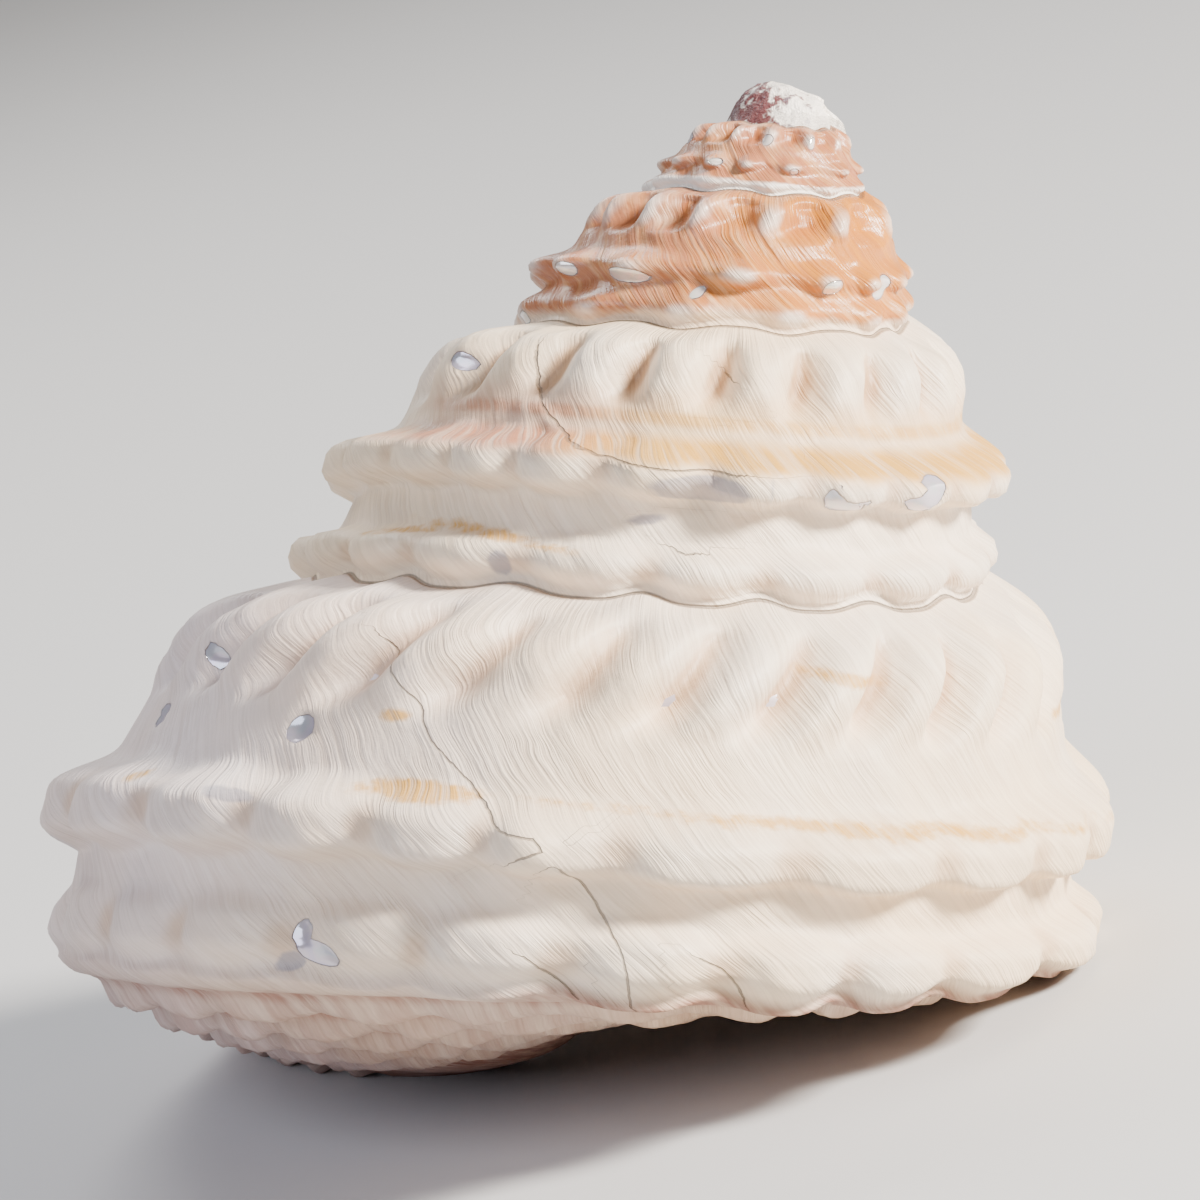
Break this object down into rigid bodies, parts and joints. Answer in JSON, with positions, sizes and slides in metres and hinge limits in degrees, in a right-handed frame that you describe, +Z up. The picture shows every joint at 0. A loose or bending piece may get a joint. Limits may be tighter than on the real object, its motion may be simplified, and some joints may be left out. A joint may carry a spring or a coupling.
{
  "type": "turban shell",
  "caption": "Large right-handed turban sea shell: tall stepped spire, knobbly keels, wavy shoulder folds, beaded base cords and an open hollow mouth.",
  "frame": {"origin": "centre of the bounding box, at the level of the worn places that the shell rests on", "axes": "+Z up as it rests, +X to the viewer's right in the picture's view, +Y away from the viewer; the shell's axis leans 28 degrees from +Z, towards +X and a little towards +Y"},
  "size_m": [0.1294, 0.1312, 0.109],
  "materials": {
    "shell": "chalky to satin calcium carbonate, pearly inside the mouth"
  },
  "bodies": {
    "root": {"shell": "shell"}
  },
  "joints": []
}
